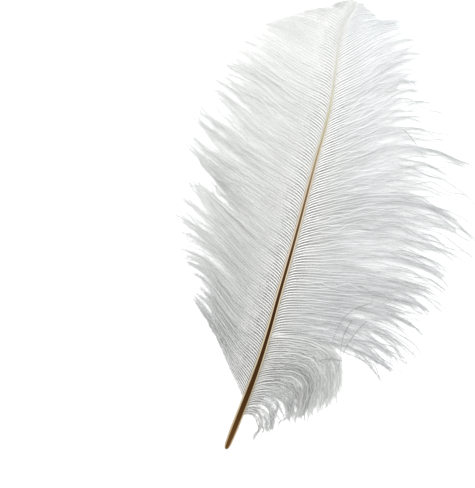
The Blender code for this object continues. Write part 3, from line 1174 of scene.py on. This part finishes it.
@dataclass
class Barbules:
    """The barbules of one vane and kind: two rows of fine spikes on every barb."""

    vane_name: str
    lines: BarbLines
    row: BarbuleRow
    finish: Material
    seed: int
    most: int = 160000  # faces in one object
    row_ends: Span = (0.45, 1.0)  # shares of the span's end at which a barb's row ends
    uneven: Span = (0.6, 1.2)  # least and most length, as shares of the reach
    shrinking: float = 4.0  # mm before the barb's tip over which they shrink
    shrunk: float = 0.5  # their length at the tip, as a share
    tapering: Span = (0.6, 1.0)  # shares of the barb over which the row tapers
    tip_height: float = 0.06  # mm, least height of a tip
    root_height: float = 0.02  # mm, least height of a base's corners
    map_size: float = 0.015  # U of the map that a face takes up

    def stations(self, rng: np.random.Generator) -> tuple[np.ndarray, np.ndarray, np.ndarray]:
        """Spread the barbules over both sides of every barb.

        Args:
            rng: the row's random numbers.

        Returns:
            Each barbule's barb, its side, -1 or 1, and its distance from the shaft.
        """
        start, stop = self.row.span
        stops = stop * rng.uniform(*self.row_ends, len(self.lines.lengths))
        room = np.minimum(self.row.most * self.lines.lengths, stops) - start
        counts = np.maximum((room / self.row.spacing).astype(int), 1)
        barb = np.repeat(np.arange(len(counts)), counts)
        order = np.arange(len(barb)) - np.repeat(np.cumsum(counts) - counts, counts)
        barb, order = np.tile(barb, 2), np.tile(order, 2)
        side = np.repeat([-1.0, 1.0], len(barb) // 2)
        return barb, side, start + (order + rng.random(len(barb))) * self.row.spacing

    def build(self) -> list[bpy.types.Object]:
        """Set a four-faced spike at every place of both rows.

        A spike starts on the barb's centre line. Its direction is the tangent turned
        sideways by the spread and raised by the lift, and its length follows the distance
        from the shaft, shrinking over the barb's last few millimetres.

        Returns:
            The barbules, in as many objects as their faces need.
        """
        rng = np.random.default_rng(self.seed)
        barb, side, distance = self.stations(rng)
        total = len(barb)
        place = distance / self.lines.lengths[barb]
        base, along = self.lines.read(barb, place)
        left, above = level_axes(along)
        turn = np.radians(rng.uniform(*self.row.spread, total))[:, None]
        lift = np.radians(rng.normal(*self.row.lift, total))[:, None]
        outward = left * (side[:, None] * np.cos(lift)) + above * np.sin(lift)
        heading = along * np.cos(turn) + outward * np.sin(turn)
        end = np.maximum(self.lines.lengths[barb] - distance, 0.0)
        length = smooth(distance, self.row.reach) * rng.uniform(*self.uneven, total)
        length *= ((self.shrunk + (1 - self.shrunk) * ramp(end, 0.0, self.shrinking))
                   * (1 - self.row.taper * ramp(place, *self.tapering)))
        tip = base + heading * length[:, None]
        tip[:, 2] = np.maximum(tip[:, 2], self.tip_height)
        wide, tall = level_axes(unit(tip - base))
        corners = 3
        angles = np.pi / 2 + np.arange(corners) * 2 * np.pi / corners
        ring = wide[:, None] * np.cos(angles)[:, None] + tall[:, None] * np.sin(angles)[:, None]
        thick = straight(distance, self.row.thickness)[:, None, None]
        points = np.concatenate([base[:, None] + ring * thick, tip[:, None]], axis=1)
        points[..., 2] = np.maximum(points[..., 2], self.root_height)
        rank, height = band(len(self.lines.lengths))
        corner = np.stack([np.clip(place, 0.0, 1.0) * END_U, rank[barb]], -1)
        spot = np.array([[0.0, 0.0], [self.map_size, 0.0], [0.0, height]])
        uv = np.broadcast_to((corner[:, None] + spot)[:, None], (total, len(SPIKE), 3, 2))
        made = []
        pieces = -(-total * len(SPIKE) // self.most)
        for k, chosen in enumerate(np.array_split(np.argsort(barb, kind="stable"), pieces)):
            faces = SPIKE[None] + points.shape[1] * np.arange(len(chosen))[:, None, None]
            made.append(add_piece(
                f"{self.vane_name}_{self.row.kind.value}_{k + 1}", points[chosen].reshape(-1, 3),
                faces.reshape(-1, 3), uv[chosen].reshape(-1, 3, 2), self.finish, False,
            ))
        return made


# ---- the whole plume -------------------------------------------------------------------
LEFT_GUIDES = (
    Guide(24, 34, (40, 45, 51, 52, 46)),
    Guide(36, 46, (20, 28, 38, 40, 30)),
    Guide(46, 44, (12, 20, 32, 38, 22)),
    Guide(55, 51, (10, 16, 30, 34, 2)),
    Guide(67, 55, (10, 17, 30, 20, 2)),
    Guide(77, 61, (11, 18, 28, 26, 8)),
    Guide(87, 63, (11, 17, 25, 32, 32)),
    Guide(92, 54, (11, 16, 23, 30, 32)),
    Guide(97, 49, (11, 14, 20, 27, 32)),
    Guide(103, 48, (11, 13, 18, 24, 30)),
    Guide(108, 66, (12, 13, 17, 23, 34)),
    Guide(118, 66, (12, 12, 16, 20, 30)),
    Guide(141, 62, (13, 13, 17, 24, 24)),
    Guide(156, 58, (12, 13, 16, 20, 6)),
    Guide(172, 53, (4, 4, 14, 18, 0)),
    Guide(187, 41, (4, 5, 12, 17, -4)),
    Guide(200, 29.5, (6, 6, 8, 6, -12)),
    Guide(206, 20.5, (13, 13, 13, 5, -12)),
    Guide(210, 14, (28, 26, 19, 4, -9)),
    Guide(214, 10.5, (37, 30, 18, 3, -9)),
    Guide(217.5, 9, (34, 22, 4, -10, -16)),
    Guide(220.7, 6, (20, 4, -12, -22, -26)),
)
RIGHT_GUIDES = (
    Guide(52, 62, (18, 12, 4, -14, -46)),
    Guide(58, 69, (19, 13, 6, -10, -44)),
    Guide(64, 73, (19, 14, 8, -5, -40)),
    Guide(71, 76, (17, 13, 10, 0, -34)),
    Guide(78, 78, (16, 12, 12, -2, -28)),
    Guide(90, 82, (16, 14, 14, 2, -24)),
    Guide(99, 86, (20, 24, 21, 0, -21)),
    Guide(118, 87, (23, 31, 26, 2, -26)),
    Guide(137, 84, (25, 35, 34, 4, -14)),
    Guide(147, 70, (26, 38, 38, 16, -14)),
    Guide(156, 58, (28, 38, 40, 30, -20)),
    Guide(166, 47, (34, 39, 43, 38, -12)),
    Guide(179, 48, (36, 40, 46, 40, 5)),
    Guide(192, 37, (38, 43, 50, 40, 18)),
    Guide(202, 31, (40, 43, 43, 24, 4)),
    Guide(206, 23, (42, 42, 36, 14, -8)),
    Guide(210, 17, (44, 42, 34, 18, -4)),
    Guide(214, 11, (46, 42, 34, 18, 0)),
    Guide(217.5, 6, (50, 44, 36, 20, 8)),
    Guide(220.7, 2.5, (60, 50, 40, 30, 20)),
)
TUFT_GUIDES = (
    Guide(17, 17, (30, 0, -40, -84, -104)),
    Guide(21, 22, (46, 20, -20, -78, -100)),
    Guide(25, 27, (45, 25, -5, -74, -98)),
    Guide(31, 35, (42, 26, 6, -66, -92)),
    Guide(37, 43, (26, 20, 10, -78, -88)),
    Guide(46, 54, (30, 16, 0, -84, -84)),
    Guide(54, 60, (14, 11, 2, -74, -84)),
    Guide(60, 59, (14, 11, 4, -58, -78)),
)
LOOSE_BARBS = (  # mm to the right of the quill's end, forward and up, along bare barbs
    ((46.3, 85.7, 5.2), (39.8, 81.3, 5.5), (35.6, 75.6, 5.8), (34.1, 68.8, 5.6), (33.3, 61.7, 5.0)),
    ((46.5, 76.9, 4.6), (43.3, 71.0, 4.6), (40.8, 62.9, 4.3), (40.1, 56.9, 4.0), (42.0, 50.6, 3.4)),
    ((35.6, 168.7, 5.8), (40.1, 166.6, 5.2), (45.1, 163.2, 4.4), (49.0, 159.9, 3.6),
     (52.1, 157.4, 2.8)),
    ((31.3, 53.3, 3.9), (35.7, 55.1, 3.8), (40.5, 55.5, 3.4), (44.5, 55.2, 2.8), (48.6, 56.4, 2.2)),
    ((39.6, 75.3, 5.0), (37.9, 67.5, 4.8), (38.6, 60.3, 4.4), (39.7, 54.8, 4.0), (39.6, 46.9, 3.2)),
)
SPARSE = replace(UNDERDOWN, spacing=0.8)
TUFT_FRINGE = replace(FRINGE, spacing=0.36, taper=0.2, spread=(9.0, 24.0),
                      reach=((0.0, 0.5), (12.0, 1.4), (25.0, 1.8), (60.0, 2.0)))
VANES = (
    Vane("left", Side.LEFT, 26.0, 220.4, 150, LEFT_GUIDES, 226, LEFT_LOOK,
         stray=0.45, gather=0.05, wave=0.3, waves=(5.0, 12.0), places=38,
         thin=((26.0, 0.12), (216.0, 0.1)),
         looseness=((20.0, 0.6), (80.0, 0.7), (110.0, 1.0), (150.0, 1.0), (180.0, 0.4), (200.0, 0.15))),
    Vane("left_under", Side.LEFT, 40.0, 182.0, 40, LEFT_GUIDES, 274, LEFT_LOOK, stray=1.3, drift=1.4,
         crowd=((40.0, 0.6), (90.0, 1.0), (150.0, 1.0), (182.0, 0.6)), sunk=0.7,
         thin=((26.0, 0.3), (216.0, 0.3)), looseness=((40.0, 0.7), (110.0, 1.0), (190.0, 0.5)),
         rows=(FRINGE, SPARSE)),
    Vane("right", Side.RIGHT, 55.0, 220.4, 130, RIGHT_GUIDES, 598, RIGHT_LOOK,
         stray=0.5, flow=0.5, drift=0.2, cling=0.5, gather=0.0, wave=0.45, strands=(1, 2), ends=2.4,
         ragged=0.035, waves=(12.0, 26.0), places=40,
         thin=((55.0, 0.2), (110.0, 0.2), (120.0, 0.4), (150.0, 0.4), (170.0, 0.2)),
         looseness=((59.0, 1.0), (120.0, 1.0), (140.0, 1.8), (160.0, 1.4), (180.0, 0.5), (200.0, 0.2))),
    Vane("right_under", Side.RIGHT, 55.0, 195.0, 92, RIGHT_GUIDES, 357, RIGHT_LOOK, stray=1.3,
         flow=0.5, strands=(1, 1), ends=3.0, gather=0.0, wave=0.5, waves=(12.0, 26.0), places=40,
         crowd=((59.0, 1.0), (110.0, 1.0), (140.0, 0.5), (195.0, 0.4)), drift=0.8,
         thin=((55.0, 0.2), (110.0, 0.3), (120.0, 0.6), (195.0, 0.6)), sunk=0.7,
         looseness=((59.0, 1.0), (120.0, 1.0), (140.0, 1.6), (195.0, 0.6)), rows=(FRINGE, SPARSE)),
    Vane("tuft", Side.RIGHT, 18.0, 58.0, 84, TUFT_GUIDES, 111, TUFT_LOOK, wave=0.5, waves=(4.0, 10.0),
         cling=0.65, closing=(-0.2, 0.2), root_heading=45.0, layers=1.0, ragged=0.12,
         girth=((0.0, 0.6), (60.0, 0.6)),
         crowd=((18.0, 0.8), (26.0, 1.0), (58.0, 1.0)),
         rows=(replace(LINING, spacing=0.3), TUFT_FRINGE, replace(UNDERDOWN, most=0.9))),
)


@dataclass
class Plume:
    """The whole feather."""

    line: ShaftLine = field(default_factory=ShaftLine)
    vanes: tuple[Vane, ...] = VANES
    loose_places: int = 24  # along each loose barb
    loose_girth: float = 0.55  # its thickness as a share of the usual one
    seed_step: int = 100  # between the seeds of a vane's kinds of barbules

    def finishes(self, vane: Vane) -> dict[str, Material]:
        """Make the finishes of a row's barbs and of its kinds of barbules.

        Args:
            vane: the row.

        Returns:
            Materials by the kind's name, and by "horn" for the barbs.
        """
        look = vane.palette
        down_tips = look.down_tips or look.tips
        # rows that lie below take the darker root colour: painted shade under the rows above
        root = look.shaded_under_root if vane.sunk else look.horn_root
        plans = {
            "horn": (root, look.horn_level, look.horn_shaded_far, look.horn_tones, look.tips,
                     {"turn": look.horn_turn, "full": look.horn_full}),
            Down.LINING.value: (look.lining_root, look.lining_level, look.lining_level,
                                look.lining_painted_shade, look.tips, {"turn": look.lining_turn}),
            Down.FRINGE.value: (look.fringe_root, look.fringe_level, look.fringe_far,
                                look.down_tones, down_tips, {"dark": look.dark}),
            Down.UNDERDOWN.value: (look.underdown_root, look.underdown_level, look.underdown_far,
                                   look.down_tones, down_tips, {"dark": look.dark}),
        }
        made = {}
        for name in ("horn", *(row.kind.value for row in vane.rows)):
            near, middle, far, tones, tips, more = plans[name]
            made[name] = BarbFinish(
                f"{vane.name}_{name}", near, look.grey(middle), look.grey(far), vane.by_rank(tones),
                vane.by_rank(tips), vane.by_rank(look.tips), **more,
            ).build()
        return made

    def loose_lines(self) -> BarbLines:
        """Lay out the bare barbs that have sprung out of their rows, over the right vane.

        Returns:
            Their centre lines.
        """
        part = np.linspace(0.0, 1.0, self.loose_places)
        points = np.stack([smooth(part, tuple(zip(np.linspace(0, 1, len(path)), path)))
                           for path in LOOSE_BARBS])
        share = np.broadcast_to(part, points.shape[:2])
        return BarbLines(points, share, run_lengths(points), np.full(len(points), self.loose_girth))

    def build(self) -> None:
        """Build the shaft, the loose barbs, then each row's barbs and barbules."""
        Shaft(self.line).build()
        Barbs("loose", self.loose_lines(), BARE_HORN.build()).build()
        for vane in self.vanes:
            lines = vane.lines(self.line)
            finishes = self.finishes(vane)
            Barbs(vane.name, lines, finishes["horn"]).build()
            for k, row in enumerate(vane.rows):
                seed = vane.seed + self.seed_step * (k + 1)
                Barbules(vane.name, lines, row, finishes[row.kind.value], seed).build()


# ---- studio ----------------------------------------------------------------------------
@dataclass(frozen=True)
class Studio:
    """Pale floor, soft light from above, and a camera straight over the plume."""

    lean: float = 16.4  # degrees that the plume leans to the right in the picture
    target: Place = (-0.0344, -0.0166, 0.005)  # what the camera looks at
    view_height: float = 0.2294  # metres from the picture's bottom to its top, at the target
    lens: float = 85.0
    sensor: float = 36.0
    floor_size: float = 6.0
    floor_colour: tuple[float, float, float, float] = (0.93, 0.93, 0.93, 1.0)
    floor_roughness: float = 0.9
    floor_specular: float = 0.1
    sky_colour: tuple[float, float, float, float] = (1.0, 1.0, 1.0, 1.0)
    sky: float = 0.75
    lamp_watts: float = 10.5
    lamp_size: float = 0.7
    lamp_place: Place = (-0.03, 0.3, 0.95)

    def build(self) -> None:
        """Make the floor, the lights and the camera."""
        self.add_floor()
        self.add_lights()
        self.add_camera()
        bpy.context.scene.view_settings.view_transform = "Standard"

    def add_floor(self) -> None:
        """Lay a level square under the plume."""
        half = self.floor_size / 2
        corners = [(-half, -half, 0.0), (half, -half, 0.0), (half, half, 0.0), (-half, half, 0.0)]
        mesh = bpy.data.meshes.new("floor")
        mesh.from_pydata(corners, [], [(0, 1, 2, 3)])
        paint = bpy.data.materials.new("floor")
        paint.use_nodes = True
        surface = paint.node_tree.nodes["Principled BSDF"]
        surface.inputs["Base Color"].default_value = self.floor_colour
        surface.inputs["Roughness"].default_value = self.floor_roughness
        surface.inputs["Specular IOR Level"].default_value = self.floor_specular
        mesh.materials.append(paint)
        floor = bpy.data.objects.new("floor", mesh)
        bpy.context.scene.collection.objects.link(floor)

    def add_lights(self) -> None:
        """Hang one large softbox under a white sky, aimed at the plume."""
        world = bpy.data.worlds.new("sky")
        world.use_nodes = True
        background = world.node_tree.nodes["Background"]
        background.inputs["Color"].default_value = self.sky_colour
        background.inputs["Strength"].default_value = self.sky
        bpy.context.scene.world = world
        lamp = bpy.data.lights.new("softbox", "AREA")
        lamp.shape = "SQUARE"
        lamp.size = self.lamp_size
        lamp.energy = self.lamp_watts
        softbox = bpy.data.objects.new("softbox", lamp)
        softbox.location = self.lamp_place
        aim = -np.array(self.lamp_place)
        softbox.rotation_euler = Vector(aim).to_track_quat("-Z", "Y").to_euler()
        bpy.context.scene.collection.objects.link(softbox)

    def add_camera(self) -> None:
        """Look straight down, turned by the lean, from where the view has its height."""
        data = bpy.data.cameras.new("camera")
        data.lens = self.lens
        data.sensor_width = self.sensor
        distance = self.view_height * self.lens / self.sensor
        camera = bpy.data.objects.new("camera", data)
        camera.location = (self.target[0], self.target[1], self.target[2] + distance)
        camera.rotation_euler = (0.0, 0.0, np.radians(self.lean))
        bpy.context.scene.collection.objects.link(camera)
        bpy.context.scene.camera = camera


def main() -> None:
    """Build the plume and the studio."""
    logging.basicConfig(level=logging.INFO)
    Plume().build()
    Studio().build()


if __name__ == "__main__":
    main()
